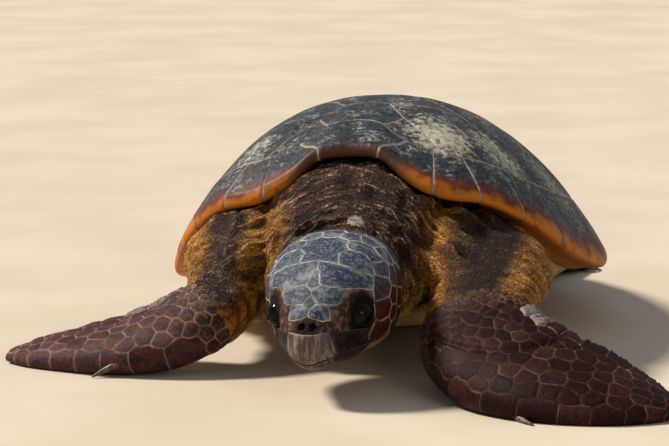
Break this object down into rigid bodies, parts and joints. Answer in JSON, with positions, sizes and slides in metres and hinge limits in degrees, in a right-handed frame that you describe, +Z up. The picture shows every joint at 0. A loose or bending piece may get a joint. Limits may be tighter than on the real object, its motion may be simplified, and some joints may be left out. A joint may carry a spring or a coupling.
{
  "type": "loggerhead sea turtle",
  "caption": "A life-size adult loggerhead sea turtle (Caretta caretta) resting on the ground, front flippers spread, head lowered and slightly turned; a still museum-style model.",
  "frame": {"origin": "the middle of the footprint's bounding box, on the floor the turtle rests on", "axes": "+Z up; the turtle faces -Y; its left side is +X"},
  "size_m": [1.0732, 1.3824, 0.3867],
  "materials": {
    "shell": "keratin scutes, dark slate with brown streaks, satin",
    "rim": "keratin scutes, dark above, amber at the edge, satin",
    "belly": "keratin, pale yellow, satin",
    "skin": "scaled brown skin, matt to satin",
    "horn": "horn, worn grey-brown, satin",
    "eye": "wet, dark",
    "claw": "horn, satin"
  },
  "bodies": {
    "root": {"nuchal": "shell", "vertebral_1": "shell", "vertebral_2": "shell", "vertebral_3": "shell", "vertebral_4": "shell", "vertebral_5": "shell", "costal_left_1": "shell", "costal_left_2": "shell", "costal_left_3": "shell", "costal_left_4": "shell", "costal_left_5": "shell", "costal_right_1": "shell", "costal_right_2": "shell", "costal_right_3": "shell", "costal_right_4": "shell", "costal_right_5": "shell", "marginals_left_front": "rim", "marginals_left_side": "rim", "marginals_left_rear": "rim", "marginals_right_front": "rim", "marginals_right_side": "rim", "marginals_right_rear": "rim", "plastron": "belly", "bridge_left": "belly", "bridge_right": "belly", "trunk": "skin", "neck": "skin", "head": "skin", "tail": "skin", "arm_left": "skin", "thigh_left": "skin", "flipper_left": "skin", "hind_flipper_left": "skin", "arm_right": "skin", "thigh_right": "skin", "flipper_right": "skin", "hind_flipper_right": "skin", "upper_beak": "horn", "lower_jaw": "horn", "eye_left": "eye", "eye_right": "eye", "claw_front_left": "claw", "claw_hind_left": "claw", "claw_front_right": "claw", "claw_hind_right": "claw"}
  },
  "joints": []
}
